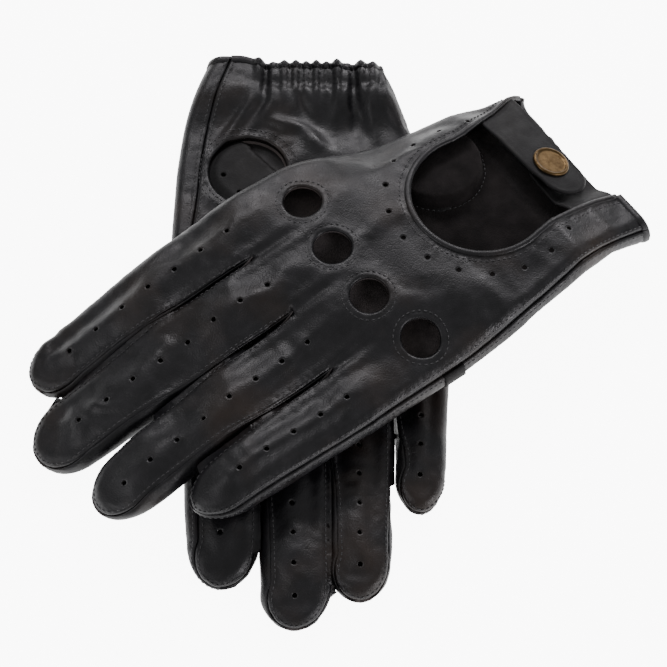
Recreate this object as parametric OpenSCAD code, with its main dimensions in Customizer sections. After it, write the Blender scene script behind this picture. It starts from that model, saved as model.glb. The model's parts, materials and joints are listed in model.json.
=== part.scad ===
// A pair of unlined leather driving gloves, one laid across the other.
// The right glove lies palm up on the table. The left glove lies back up over it.
// Each glove is drawn in its own frame: x runs towards the thumb side, y from the wrist
// edge to the fingertips, z up. Both gloves are then set in the common frame.

/* [Glove] */
// Length from the wrist edge to the middle fingertip
glove_length = 245; // [235:1:255]
// Width across the knuckles
knuckle_width = 112; // [106:1:118]
// Thickness of the leather
leather = 1.0; // [0.8:0.1:1.1]

/* [Openings] */
// Radius of each knuckle hole
knuckle_hole_r = 7.2; // [6:0.2:8]
// Radius of the round opening on the back of the hand
keyhole_r = 27.5; // [25:0.5:29]
// Radius of each ventilation hole
vent_r = 0.9; // [0.7:0.1:1.1]
// Distance from one ventilation hole to the next
vent_pitch = 12; // [11.5:0.5:12.5]

/* [Strap and press stud] */
// Radius of the cap of the press stud
cap_r = 7.5; // [6.5:0.5:8]
// Radius of the nose of the stud
stud_r = 2.0; // [1.8:0.1:2.2]
// Radial clearance between the nose and its socket
stud_clearance = 0.15; // [0.1:0.05:0.2]

/* [Lay] */
// Direction of the left glove, turned from the common x axis
left_turn = 123; // [122:0.1:124]
// Slope of the left glove's wrist
wrist_tilt = 18; // [15:1:20]

/* [Hidden] */

LEFT = 0;
RIGHT = 1;
BASE = 0;   // the surface that faces the table
CROWN = 1;  // the surface that faces up

leather_colour = [0.11, 0.11, 0.12];
inside_colour = [0.17, 0.16, 0.16];
elastic_colour = [0.28, 0.28, 0.28];
brass_colour = [0.55, 0.43, 0.27];

// The pattern is drawn for a glove of 245 by 112 mm and stretched to the size asked for.
sx = knuckle_width / 112;
sy = glove_length / 245;
fork_y = 138 * sy;
tip_round = 17 * sy;
seam_gap = 0.02;   // keeps sewn pieces from sharing a face
facing = 0.6;      // thickness of the facings behind the cut edges
wide = 400;        // taller than anything here, for cutting

// Fingers from index to little: centre and half width at the fork, then at the tip, and tip y.
fingers = [
    [[41, 36.6, 14.8, 12.6, 230], [12, 9, 14, 14.1, 244],
     [-15.5, -24.5, 13.3, 13.2, 235], [-42.4, -46.5, 13.3, 11, 208]],
    [[38.4, 33.4, 13.6, 12.2, 232], [10.2, 6.4, 13.2, 12.2, 247],
     [-16.2, -18.2, 12.5, 11.4, 237], [-40.2, -39.6, 10.8, 9.2, 202]]
];
// Edge of the hand from the wrist to the fork, as [y, x], on the thumb side and the little side.
thumb_edge = [
    [[0, 41], [20, 47], [43, 52], [62, 54.5], [100, 56.5], [138, 55.8]],
    [[0, 44], [20, 50.5], [43, 54.5], [62, 56], [100, 56], [138, 52]]
];
little_edge = [
    [[0, -41], [20, -41.5], [45, -45.5], [75, -50], [105, -53], [138, -55.7]],
    [[0, -27], [15, -32], [30, -37], [60, -44], [100, -49], [138, -51]]
];

// Heights
table_gap = 0.8;        // under the left glove's fingertips
over_fingers = 11.8;    // the left glove's rise over the right glove's fingers
over_thumb = 3.6;       // further rise over the right glove's thumb
over_both = 5.9;        // further rise over both thumbs
palm_level = table_gap + over_fingers + over_thumb + over_both;
wrist_y = 34 * sy;      // the wrist slopes down from here
cuff_depth = 14;        // depth of a glove at its wrist
right_palm_level = 9.6;

// Thumb: its pivot in the hand, the angle it is folded in by, and its own outline
thumb_pivot = [27 * sx, 53 * sy];
thumb_fold = 30;
thumb_base_r = 18;
thumb_tip_r = 11;
thumb_reach = 55;
thumb_depth = 5.6;
thumb_hole_r = 15.5;
thumb_gap = 0.35;

// Round opening and strap
keyhole_centre = [2, 50];
vent_ring_r = keyhole_r + 9;
snap_at = [2.5, 17.3];
strap_tip_r = 9.8;
strap_tip = [-4.5, 16.7];

// Press stud, as depths below the outer face of the back panel at the wrist
cap_top = 0.3;
cap_h = 1.7;
socket_h = 2.2;
socket_r = 5;
flange_h = 0.5;
flange_r = 4.5;
stud_h = 1.9;
eyelet_h = 0.6;
eyelet_hole_r = 1.1;
strap_top = cap_top + cap_h;
socket_top = strap_top + leather;
tab_top = socket_top + socket_h + flange_h + 0.1;

function ramp(t, a, b) = let (u = min(1, max(0, (t - a) / (b - a)))) u * u * (3 - 2 * u);
function mix(a, b, t) = a + (b - a) * t;

// Fingers
function finger(g, i) = fingers[g][i];
function tip_y(g, i) = finger(g, i)[4] * sy;
function along(g, i, y) = (y - fork_y) / (tip_y(g, i) - fork_y);
function centre_x(g, i, y) = mix(finger(g, i)[0], finger(g, i)[1], along(g, i, y)) * sx;
function half_w(g, i, y) = mix(finger(g, i)[2], finger(g, i)[3], along(g, i, y)) * sx;

// Point on a [y, x] edge list, smoothed through its points
function slope(e, k) = let (a = max(0, k - 1), b = min(len(e) - 1, k + 1))
    (e[b][1] - e[a][1]) / (e[b][0] - e[a][0]);
function edge_x(e, y) = let (
    v = min(max(y / sy, 0), e[len(e) - 1][0]),
    k = max([for (i = [0 : len(e) - 2]) if (e[i][0] <= v) i]),
    h = e[k + 1][0] - e[k][0], t = (v - e[k][0]) / h)
    sx * ((2 * t ^ 3 - 3 * t ^ 2 + 1) * e[k][1] + (t ^ 3 - 2 * t ^ 2 + t) * h * slope(e, k)
        + (3 * t ^ 2 - 2 * t ^ 3) * e[k + 1][1] + (t ^ 3 - t ^ 2) * h * slope(e, k + 1));

// Outline of a glove, drawn in from its edge by inset and carried below the wrist by open
edge_rows = [for (k = [0 : 9]) fork_y * k / 9];
tip_steps = 10;
function finger_outline(g, i, inset) = let (
    y = tip_y(g, i) - tip_round, f = fork_y - inset, c = centre_x(g, i, y),
    w = half_w(g, i, y) - inset, r = tip_round - inset)
    concat(
        i > 0 ? [[centre_x(g, i, fork_y) + half_w(g, i, fork_y) - inset, f]] : [],
        [for (k = [0 : tip_steps]) let (a = 180 * k / tip_steps) [c + w * cos(a), y + r * sin(a)]],
        i < 3 ? [[centre_x(g, i, fork_y) - half_w(g, i, fork_y) + inset, f]] : []);
function glove_outline(g, inset = 0, open = 0) = concat(
    [[edge_x(thumb_edge[g], 0) - inset, -open]],
    [for (y = edge_rows) if (y > 0) [edge_x(thumb_edge[g], y) - inset, y]],
    finger_outline(g, 0, inset), finger_outline(g, 1, inset),
    finger_outline(g, 2, inset), finger_outline(g, 3, inset),
    [for (k = [9 : -1 : 1]) [edge_x(little_edge[g], edge_rows[k]) + inset, edge_rows[k]]],
    [[edge_x(little_edge[g], 0) + inset, -open]]);

// Where a glove lies in the common frame, with the origin under the middle of the pair
origin = [3, 3.9];
left_at = [99.2, 72.1];
right_at = [-7, 127];
module place(g) {
    translate([-origin[0], -origin[1], 0])
        if (g == LEFT) translate([left_at[0], left_at[1], 0]) rotate([0, 0, left_turn]) children();
        else translate([right_at[0], right_at[1], 0]) rotate([0, 0, 180]) children();
}
function common_x(x, y) = left_at[0] + x * cos(left_turn) - y * sin(left_turn);
function common_y(x, y) = left_at[1] + x * sin(left_turn) + y * cos(left_turn);

// Height of the left glove's underside: flat over the thumbs, down to the table at the fingers
function drape(x, y) = let (cx = common_x(x, y), cy = common_y(x, y))
    table_gap + ramp(cx, -114, -60) * (over_fingers + over_thumb * ramp(cy, -24, 2))
    + over_both * ramp(cx, -62, -36) * max(ramp(x, -74, -44), 1 - ramp(y, wrist_y, 80))
    + min(0, y - wrist_y) * tan(wrist_tilt);
function base_z(g, x, y) = g == LEFT ? drape(x, y) : 0;

// Depth of a glove at a point, where u runs over one finger from 0 to 1
function crown(u) = 1 - (2 * u - 1) ^ 2;
function depth(g, x, y, u, tip) = let (f = ramp(y, fork_y - 15, fork_y + 12),
    hand = g == LEFT ? mix(10.5 + 3.5 * (1 - (x / 56) ^ 2), cuff_depth, 1 - ramp(y, 34, 56))
        : mix(right_palm_level, cuff_depth, 1 - ramp(y, 12, 34)))
    mix(hand, (g == LEFT ? 9.5 : 8.8) + 3 * crown(u), f) * (1 - 0.3 * ramp(y, tip - 28, tip + 4));

// Sheets between two surfaces, on a grid whose columns follow the fingers
rows = [for (y = [-8, 10, 25, 34, 50, 70, 90, 110, 125, 138, 152, 166, 180, 194, 208, 220, 232, 254])
    y * sy];
columns = 18;
wrist_row = 2;
knuckle_row = 5;
finger_row = 8;
function fork_line(g, k) = k == 0 ? centre_x(g, 0, fork_y) + half_w(g, 0, fork_y)
    : k == 4 ? centre_x(g, 3, fork_y) - half_w(g, 3, fork_y)
    : (centre_x(g, k - 1, fork_y) - half_w(g, k - 1, fork_y)
        + centre_x(g, k, fork_y) + half_w(g, k, fork_y)) / 2;
function finger_line(g, k, y) = k == 0 ? centre_x(g, 0, y) + half_w(g, 0, y)
    : k == 4 ? centre_x(g, 3, y) - half_w(g, 3, y)
    : (centre_x(g, k - 1, y) - half_w(g, k - 1, y) + centre_x(g, k, y) + half_w(g, k, y)) / 2;
function line_x(g, k, y) = y > fork_y ? finger_line(g, k, y)
    : mix(edge_x(thumb_edge[g], y), edge_x(little_edge[g], y),
        (fork_line(g, k) - fork_line(g, 0)) / (fork_line(g, 4) - fork_line(g, 0)));
function column_x(g, i, y) = i == 0 ? line_x(g, 0, y) + 8 : i == columns ? line_x(g, 4, y) - 8
    : let (k = min(3, floor((i - 1) / 4)), t = (i - 1 - 4 * k) / 4)
        mix(line_x(g, k, y), line_x(g, k + 1, y), t);
function column_u(i) = (i == 0 || i == columns) ? 0 : ((i - 1) % 4) / 4;
function column_tip(g, i) = let (v = min(3, max(0, (i - 1) / 4 - 0.5)), k = min(2, floor(v)))
    mix(tip_y(g, k), tip_y(g, k + 1), v - k);
function surface_point(g, s, dz, i, j) = let (y = rows[j], x = column_x(g, i, y))
    [x, y, base_z(g, x, y) + (s == CROWN ? depth(g, x, y, column_u(i), column_tip(g, i)) : 0) + dz];

module sheet(g, low, low_dz, high, high_dz, first = 0, last = len(rows) - 1) {
    nr = last - first + 1;
    nc = columns + 1;
    n = nr * nc;
    points = concat(
        [for (j = [first : last], i = [0 : columns]) surface_point(g, low, low_dz, i, j)],
        [for (j = [first : last], i = [0 : columns]) surface_point(g, high, high_dz, i, j)]);
    cells = [for (j = [0 : nr - 2], i = [0 : columns - 1]) j * nc + i];
    rim = concat(
        [for (i = [0 : columns - 1]) [i, i + 1]],
        [for (j = [0 : nr - 2]) [j * nc + columns, (j + 1) * nc + columns]],
        [for (i = [columns : -1 : 1]) [(nr - 1) * nc + i, (nr - 1) * nc + i - 1]],
        [for (j = [nr - 1 : -1 : 1]) [j * nc, (j - 1) * nc]]);
    polyhedron(points, concat(
        [for (c = cells) [c, c + nc, c + 1]],
        [for (c = cells) [c + 1, c + nc, c + nc + 1]],
        [for (c = cells) [n + c, n + c + 1, n + c + nc]],
        [for (c = cells) [n + c + 1, n + c + nc + 1, n + c + nc]],
        [for (e = rim) [e[0], e[1], n + e[1], n + e[0]]]));
}
module prism(h = wide) translate([0, 0, -h / 2]) linear_extrude(h) children();

// The finger side of a glove between two finger centre lines
function gusset_region(g, a, b) = [
    [centre_x(g, a, fork_y), fork_y - 4], [centre_x(g, a, 260), 260],
    [centre_x(g, b, 260), 260], [centre_x(g, b, fork_y), fork_y - 4]];

// Round opening on the back, drawn out from its edge by grow
function keyhole(grow = 0) = let (r = keyhole_r + grow, c = keyhole_centre)
    concat(
        [[44 + grow, -9], [40.5 + grow, 7], [35 + grow, 20], [30.4 + grow, 33]],
        [for (a = [-12 : 9 : 195]) c + r * [cos(a), sin(a)]],
        [[-22.4 - grow, 28], [-21.5 - grow, 15], [-22.2 - grow, 2], [-23 - grow, -9]]);
function knuckle_centres(g) = g == LEFT ? [[36, 109], [12, 111], [-13, 111], [-37, 104]]
    : [[34, 109], [11, 111], [-13, 111], [-35, 104]];
function vents_of_finger(g, i) = [
    for (y = [fork_y + 2 : vent_pitch : tip_y(g, i) - 9]) [centre_x(g, i, y), y]];
vents_of_keyhole = [for (a = [-28 : 20 : 212]) keyhole_centre + vent_ring_r * [cos(a), sin(a)]];
module holes(points, r) for (p = points) translate(p) circle(r = r, $fn = r > 2 ? 48 : 20);

// Leather panels
module back_panel(g) place(g) intersection() {
    if (g == LEFT) sheet(g, CROWN, -leather, CROWN, 0);
    else linear_extrude(leather) square(600, center = true);
    prism() difference() {
        polygon(glove_outline(g));
        polygon(keyhole());
        holes(knuckle_centres(g), knuckle_hole_r);
        for (i = [0 : 3]) holes(vents_of_finger(g, i), vent_r);
        holes(vents_of_keyhole, vent_r);
    }
}
module palm_panel(g) place(g) difference() {
    intersection() {
        if (g == LEFT) sheet(g, BASE, 0, CROWN, -leather - seam_gap);
        else sheet(g, BASE, leather + seam_gap, CROWN, 0);
        prism() difference() {
            polygon(glove_outline(g));
            for (i = [0 : 3]) holes(vents_of_finger(g, i), vent_r);
        }
    }
    intersection() {
        if (g == LEFT) sheet(g, BASE, leather, CROWN, 5);
        else sheet(g, BASE, -5, CROWN, -leather);
        prism() {
            polygon(glove_outline(g, leather, 5));
            polygon(gusset_region(g, 0, 3));
        }
    }
    translate(thumb_pivot) cylinder(r = thumb_hole_r, h = wide, center = true, $fn = 64);
}
module fourchette(g, i) place(g) intersection() {
    sheet(g, BASE, leather + seam_gap, CROWN, -leather - seam_gap, finger_row);
    prism() intersection() {
        difference() {
            polygon(glove_outline(g));
            polygon(glove_outline(g, leather, 5));
        }
        polygon(gusset_region(g, i, i + 1));
    }
}
// A thin lining piece on the inside of the back panel
module back_lining(g, thick, first, last) {
    if (g == LEFT)
        sheet(g, CROWN, -leather - seam_gap - thick, CROWN, -leather - seam_gap, first, last);
    else translate([0, 0, leather + seam_gap]) linear_extrude(thick) square(600, center = true);
}
module keyhole_facing(g) place(g) intersection() {
    back_lining(g, facing, 0, knuckle_row + 1);
    prism() difference() {
        intersection() {
            polygon(keyhole(4));
            polygon(glove_outline(g, leather + 0.5));
        }
        polygon(keyhole());
    }
}
module knuckle_facings(g) place(g) intersection() {
    back_lining(g, facing, knuckle_row, finger_row + 1);
    prism() difference() {
        holes(knuckle_centres(g), knuckle_hole_r + 3.2);
        holes(knuckle_centres(g), knuckle_hole_r);
    }
}

// Thumb, in its own frame: v along the thumb from its pivot, w away from the palm
module thumb_outline(inset) hull_of_two(thumb_base_r - inset, thumb_tip_r - inset, thumb_reach);
function tangent_angle(r1, r2, d) = acos((r1 - r2) / d);
module hull_of_two(r1, r2, d) {
    t = tangent_angle(r1, r2, d);
    polygon(concat(
        [for (a = [t : (360 - 2 * t) / 30 : 360 - t + 0.01]) r1 * [sin(a), cos(a)]],
        [for (a = [-t : 2 * t / 18 : t + 0.01]) [r2 * sin(a), d + r2 * cos(a)]]));
}
module thumb_side(inset) rotate([90, 0, 90]) linear_extrude(60, center = true) polygon([
    [-30, inset], [80, inset], [80, 2.8 - inset], [thumb_reach - 8, thumb_depth - inset],
    [2, thumb_depth - inset], [-18, 3 - inset], [-30, 2.2 - inset]]);
module thumb_frame(g) place(g) translate([thumb_pivot[0], thumb_pivot[1],
        g == LEFT ? palm_level - thumb_gap : right_palm_level + thumb_gap])
    rotate([0, 0, thumb_fold]) mirror([0, 0, g == LEFT ? 1 : 0]) children();
module thumb(g) thumb_frame(g) difference() {
    intersection() {
        linear_extrude(thumb_depth) thumb_outline(0);
        thumb_side(0);
    }
    intersection() {
        linear_extrude(thumb_depth) thumb_outline(leather);
        thumb_side(leather);
    }
    cylinder(r = thumb_hole_r, h = 4 * leather, center = true, $fn = 64);
    translate([0, 0, 2 * leather]) linear_extrude(thumb_depth)
        holes([for (v = [0 : vent_pitch : thumb_reach - 8]) [9 - v / 8, v]], vent_r);
}

// Wrist: z is 0 at the outer face of the back panel and falls into the glove
module wrist_frame(g) place(g)
    if (g == LEFT)
        translate([0, wrist_y, palm_level]) rotate([wrist_tilt, 0, 0])
            translate([0, -wrist_y, cuff_depth * cos(wrist_tilt)]) children();
    else mirror([0, 0, 1]) children();
module under(depth, h) translate([0, 0, -depth - h]) linear_extrude(h) children();
module strap(g) wrist_frame(g) difference() {
    under(strap_top, leather) polygon(concat(
        [[40.6, 8.4], [33.2, 31.8], [22.9, 30.1], [11.8, 29.3], [2, 28]],
        [for (a = [85 : 11 : 272]) strap_tip + strap_tip_r * [cos(a), sin(a)]]));
    translate(snap_at) cylinder(r = 1.6, h = 20, center = true, $fn = 32);
}
module stud_tab(g) wrist_frame(g) difference() {
    intersection() {
        translate([0, 26.5, 0]) rotate([90, 0, 0]) linear_extrude(23) polygon([
            [-29, -1.7], [-20, -1.7], [-13, -tab_top], [10, -tab_top],
            [10, -tab_top - leather], [-13.5, -tab_top - leather],
            [-20.5, -1.7 - leather], [-29, -1.7 - leather]]);
        under(-5, 30) polygon(concat([[-29, 3.5], [1, 3.5]],
            [for (a = [-75 : 15 : 75]) [1, 15] + [9 * cos(a), 11.5 * sin(a)]], [[-29, 26.5]]));
    }
    translate(snap_at) cylinder(r = eyelet_hole_r + 0.45, h = 20, center = true, $fn = 32);
}
module at_snap(g) wrist_frame(g) translate(snap_at) children();
module snap_cap(g) at_snap(g) {
    translate([0, 0, -strap_top]) rotate_extrude($fn = 64) polygon(concat(
        [[0, 0], [cap_r - 0.4, 0], [cap_r, 0.4], [cap_r, 0.8]],
        [for (k = [1 : 6]) [cap_r * cos(15 * k), 0.8 + (cap_h - 0.8) * sin(15 * k)]]));
    translate([0, 0, -socket_top]) cylinder(r = 1.55, h = leather, $fn = 32);
}
module snap_socket(g) at_snap(g) translate([0, 0, -socket_top - socket_h]) difference() {
    cylinder(r = socket_r, h = socket_h - seam_gap, $fn = 64);
    translate([0, 0, -1]) cylinder(r = stud_r + stud_clearance, h = socket_h - 0.3 + 1, $fn = 48);
    translate([0, 0, -1]) cylinder(r = flange_r - 1, h = 1.5, $fn = 48);
}
module snap_stud(g) at_snap(g) translate([0, 0, -tab_top + seam_gap]) difference() {
    union() {
        cylinder(r = flange_r, h = flange_h, $fn = 64);
        cylinder(r = stud_r, h = flange_h + stud_h - 0.3, $fn = 48);
    }
    translate([0, 0, -1]) cylinder(r = eyelet_hole_r, h = flange_h + 1.8, $fn = 32);
}
module snap_eyelet(g) at_snap(g) translate([0, 0, -tab_top - leather - seam_gap - eyelet_h]) {
    cylinder(r = flange_r, h = eyelet_h, $fn = 64);
    cylinder(r = eyelet_hole_r - 0.05, h = eyelet_h + leather + 0.6, $fn = 32);
}

// Wrist edge of the palm
function palm_out(g) = g == LEFT ? BASE : CROWN;
module palm_band(g, near, far) {
    if (g == LEFT) sheet(g, BASE, near, BASE, far, 0, wrist_row);
    else sheet(g, CROWN, -far, CROWN, -near, 0, wrist_row);
}
module wrist_strip(g, y0, y1, inset) prism() polygon([
    [edge_x(thumb_edge[g], 0) - inset, y0], [edge_x(thumb_edge[g], 0) - inset, y1],
    [edge_x(little_edge[g], 0) + inset, y1], [edge_x(little_edge[g], 0) + inset, y0]]);
module wrist_elastic(g) place(g) intersection() {
    palm_band(g, leather + seam_gap, leather + 0.8);
    wrist_strip(g, 7, 13, 4);
}
module cuff_binding(g) place(g) difference() {
    intersection() {
        palm_band(g, -0.6, leather + 0.6);
        wrist_strip(g, -0.8, 6, 2);
    }
    intersection() {
        palm_band(g, -seam_gap, leather + seam_gap);
        wrist_strip(g, -seam_gap, 9, 1);
    }
}
module side_keeper(g) place(g) intersection() {
    sheet(g, BASE, 2, CROWN, -1.5, knuckle_row, finger_row);
    prism() polygon(concat(
        [for (y = [95, 99.5, 104]) [edge_x(little_edge[g], y) - seam_gap, y]],
        [for (y = [104, 99.5, 95]) [edge_x(little_edge[g], y) - 0.8, y]]));
}

color(leather_colour) back_panel(LEFT);  // left_back_panel
color(leather_colour) palm_panel(LEFT);  // left_palm_panel
color(leather_colour) thumb(LEFT);  // left_thumb
color(leather_colour) fourchette(LEFT, 0);  // left_fourchette_index_middle
color(leather_colour) fourchette(LEFT, 1);  // left_fourchette_middle_ring
color(leather_colour) fourchette(LEFT, 2);  // left_fourchette_ring_little
color(inside_colour) keyhole_facing(LEFT);  // left_keyhole_facing
color(inside_colour) knuckle_facings(LEFT);  // left_knuckle_facings
color(leather_colour) strap(LEFT);  // left_strap
color(leather_colour) stud_tab(LEFT);  // left_stud_tab
color(brass_colour) snap_cap(LEFT);  // left_snap_cap
color(brass_colour) snap_socket(LEFT);  // left_snap_socket
color(brass_colour) snap_stud(LEFT);  // left_snap_stud
color(brass_colour) snap_eyelet(LEFT);  // left_snap_eyelet
color(elastic_colour) wrist_elastic(LEFT);  // left_wrist_elastic
color(leather_colour) cuff_binding(LEFT);  // left_cuff_binding
color(leather_colour) side_keeper(LEFT);  // left_side_keeper
color(leather_colour) back_panel(RIGHT);  // right_back_panel
color(leather_colour) palm_panel(RIGHT);  // right_palm_panel
color(leather_colour) thumb(RIGHT);  // right_thumb
color(leather_colour) fourchette(RIGHT, 0);  // right_fourchette_index_middle
color(leather_colour) fourchette(RIGHT, 1);  // right_fourchette_middle_ring
color(leather_colour) fourchette(RIGHT, 2);  // right_fourchette_ring_little
color(inside_colour) keyhole_facing(RIGHT);  // right_keyhole_facing
color(inside_colour) knuckle_facings(RIGHT);  // right_knuckle_facings
color(leather_colour) strap(RIGHT);  // right_strap
color(leather_colour) stud_tab(RIGHT);  // right_stud_tab
color(brass_colour) snap_cap(RIGHT);  // right_snap_cap
color(brass_colour) snap_socket(RIGHT);  // right_snap_socket
color(brass_colour) snap_stud(RIGHT);  // right_snap_stud
color(brass_colour) snap_eyelet(RIGHT);  // right_snap_eyelet
color(elastic_colour) wrist_elastic(RIGHT);  // right_wrist_elastic
color(leather_colour) cuff_binding(RIGHT);  // right_cuff_binding
color(leather_colour) side_keeper(RIGHT);  // right_side_keeper
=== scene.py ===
# %% [markdown]
# A pair of unlined leather driving gloves: the right glove lies palm up, the left one lies back up across it.
# The first cell loads the fixed frame, which holds every part at its true size and place. Everything new is
# built around it in metres, and each new piece of the gloves, except the two strap leathers, is told which body it
# moves with.

# %% Load the frame
import json
import math
import bpy
import bmesh
import numpy as np
from mathutils import Matrix, Vector, noise
from mathutils.geometry import delaunay_2d_cdt
from mathutils.kdtree import KDTree

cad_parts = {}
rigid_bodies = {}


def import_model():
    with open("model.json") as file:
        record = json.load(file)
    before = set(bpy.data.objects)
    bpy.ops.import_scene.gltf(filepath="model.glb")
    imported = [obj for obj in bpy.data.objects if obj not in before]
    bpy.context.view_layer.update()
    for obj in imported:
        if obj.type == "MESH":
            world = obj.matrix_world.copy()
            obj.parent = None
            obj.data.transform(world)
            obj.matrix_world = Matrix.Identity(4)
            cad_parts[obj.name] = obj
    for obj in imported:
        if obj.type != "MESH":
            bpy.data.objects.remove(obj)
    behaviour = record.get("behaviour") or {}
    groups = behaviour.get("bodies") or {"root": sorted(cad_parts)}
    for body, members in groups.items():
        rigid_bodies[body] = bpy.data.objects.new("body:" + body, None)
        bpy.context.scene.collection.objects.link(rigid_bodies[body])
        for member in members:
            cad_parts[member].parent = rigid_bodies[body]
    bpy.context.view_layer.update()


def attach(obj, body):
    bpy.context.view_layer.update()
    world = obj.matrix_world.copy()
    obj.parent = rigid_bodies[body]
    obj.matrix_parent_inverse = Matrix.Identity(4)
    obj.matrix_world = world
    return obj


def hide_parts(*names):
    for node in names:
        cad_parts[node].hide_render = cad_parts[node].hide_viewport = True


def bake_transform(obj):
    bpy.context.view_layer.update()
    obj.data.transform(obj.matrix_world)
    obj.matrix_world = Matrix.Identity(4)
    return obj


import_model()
MM = 0.001

# %% [markdown]
# The two gloves share one pattern language: each finger has a centre line, a half width and a tip, and the
# hand has an edge on the thumb side and one on the little side. All lengths are in millimetres here, x towards
# the thumb, y from the wrist edge to the fingertips, as a glove maker lays a pattern on the table.

# %% Pattern sizes of both gloves
FORK = 138.0
TIP_ROUND = 17.0
GLOVES = {
    "left": {
        "fingers": [(41, 37.6, 14.8, 12.6, 229), (12, 9.2, 14, 14.1, 243),
                    (-15.5, -24.7, 13.3, 13.2, 236), (-42.4, -46.5, 13.3, 11, 208)],
        "thumb_edge": [(0, 41), (20, 47), (43, 52), (62, 54.5), (100, 56.5), (138, 55.8)],
        "little_edge": [(0, -41), (20, -41.5), (45, -45.5), (75, -50), (105, -53), (138, -55.7)],
        "knuckles": [(36, 109), (12, 111), (-13, 111), (-37, 104)],
        "at": (96.2, 68.2), "turn": 123.0, "back_up": True,
        "hand_r": 5.3, "hand_crown": 3.4, "finger_r": 5.2, "finger_crown": 2.0, "wrist_zone": (34, 56),
    },
    "right": {
        "fingers": [(38.4, 33.0, 13.6, 12.2, 231), (10.2, 6.6, 13.2, 12.3, 247),
                    (-16.2, -16.6, 12.5, 11.2, 236), (-40.2, -38.4, 10.8, 9.0, 201)],
        "thumb_edge": [(0, 44), (20, 50.5), (43, 54.5), (62, 56), (100, 56), (138, 52)],
        "little_edge": [(0, -27), (15, -32), (30, -37), (60, -44), (100, -49), (138, -51)],
        "knuckles": [(34, 109), (11, 111), (-13, 111), (-35, 104)],
        "at": (-10.0, 123.1), "turn": 180.0, "back_up": False,
        "hand_r": 4.5, "hand_crown": 0.6, "finger_r": 5.2, "finger_crown": 1.5, "wrist_zone": (12, 34),
    },
}
KNUCKLE_R = 7.2
VENT_R = 0.95
KEYHOLE_R = 27.5
KEYHOLE_AT = (2.0, 50.0)
THUMB_AT = (27.0, 53.0)
SEAM_ANGLE = math.radians(50)
THUMB_SIDE_STRIP = 9.5

# %% [markdown]
# Leather follows smooth curves, so every edge is a smooth curve through a few measured points. `ramp` is the
# soft step that glove shapes are blended with: it starts and ends level, so no blend leaves a crease.

# %% Curves and blends
def ramp(t, a, b):
    """0 at a, 1 at b, whichever is larger."""
    u = np.clip((np.asarray(t, float) - a) / (b - a), 0, 1)
    return u * u * (3 - 2 * u)


def mix(a, b, t):
    return a + (b - a) * t


def smooth_curve(points):
    ys = np.array([p[0] for p in points], float)
    xs = np.array([p[1] for p in points], float)
    slopes = np.gradient(xs, ys)

    def value(y):
        y = np.clip(y, ys[0], ys[-1])
        k = np.clip(np.searchsorted(ys, y, side="right") - 1, 0, len(ys) - 2)
        h = ys[k + 1] - ys[k]
        t = (y - ys[k]) / h
        return ((2 * t**3 - 3 * t**2 + 1) * xs[k] + (t**3 - 2 * t**2 + t) * h * slopes[k]
                + (3 * t**2 - 2 * t**3) * xs[k + 1] + (t**3 - t**2) * h * slopes[k + 1])
    return value


for glove in GLOVES.values():
    glove["thumb_side"] = smooth_curve(glove["thumb_edge"])
    glove["little_side"] = smooth_curve(glove["little_edge"])
    turn = math.radians(glove["turn"])
    glove["cos"], glove["sin"] = math.cos(turn), math.sin(turn)


def to_frame(g, x, y):
    """Pattern place to the common frame, still in millimetres."""
    return (g["at"][0] + x * g["cos"] - y * g["sin"], g["at"][1] + x * g["sin"] + y * g["cos"])


def finger_centre(g, i, y):
    a, b, _, _, tip = g["fingers"][i]
    return mix(a, b, (y - FORK) / (tip - FORK))


def finger_half(g, i, y):
    _, _, a, b, tip = g["fingers"][i]
    return mix(a, b, (y - FORK) / (tip - FORK))


def finger_line(g, k, y):
    """The line on the thumb side of finger k, or past the little finger when k is 4."""
    y = np.asarray(y, float)
    f = np.maximum(y, FORK)
    if k == 0:
        return finger_centre(g, 0, f) + finger_half(g, 0, f)
    if k == 4:
        return finger_centre(g, 3, f) - finger_half(g, 3, f)
    return (finger_centre(g, k - 1, f) - finger_half(g, k - 1, f)
            + finger_centre(g, k, f) + finger_half(g, k, f)) / 2


def line_x(g, k, y):
    share = ((finger_line(g, k, FORK) - finger_line(g, 0, FORK))
             / (finger_line(g, 4, FORK) - finger_line(g, 0, FORK)))
    hand = mix(g["thumb_side"](y), g["little_side"](y), share)
    return np.where(np.asarray(y) > FORK, finger_line(g, k, y), hand)


def centre(g, i, y):
    hand = (line_x(g, i, y) + line_x(g, i + 1, y)) / 2
    return mix(hand, finger_centre(g, i, y), ramp(y, FORK - 8, FORK + 8))


def half(g, i, y):
    hand = (line_x(g, i, y) - line_x(g, i + 1, y)) / 2
    return mix(hand, finger_half(g, i, y), ramp(y, FORK - 8, FORK + 8))


def finger_of(g, x, y):
    return sum((x < line_x(g, k, y)).astype(int) for k in (1, 2, 3))


print("left fork lines:", [round(float(finger_line(GLOVES["left"], k, FORK)), 1) for k in range(5)])

# %% [markdown]
# How the gloves lie: the right glove rests flat on the table, and the left one is held up by it, by its thumb
# and by its own thumb, then slopes to the table at the fingertips and droops at the wrist. These heights are the
# ones of the CAD model, so each leather skin stays where its plain solid is.

# %% Height of the underside of each glove
WRIST_Y = 34.0
WRIST_DROOP = math.tan(math.radians(18))


def underside(g, x, y):
    if not g["back_up"]:
        return np.zeros(np.shape(x))
    cx, cy = to_frame(g, x, y)
    cx, cy = cx + 3.0, cy + 3.9
    return (0.8 + ramp(cx, -114, -60) * (11.8 + 3.6 * ramp(cy, -24, 2))
            + 5.9 * ramp(cx, -62, -36) * np.maximum(ramp(x, -74, -44), 1 - ramp(y, WRIST_Y, 80))
            + np.minimum(0, y - WRIST_Y) * WRIST_DROOP)


# %% [markdown]
# A sewn glove is a flat tube: level on top and below, round at the sides. The skin function rolls a point of the
# flat pattern onto that tube. Its distance from the finger's middle is kept as an arc length, so circles stay
# round and the leather isn't stretched. It rolls round the sides of every finger, and round the two sides of the
# hand, and fades out between the fingers where they join the hand.

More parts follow.
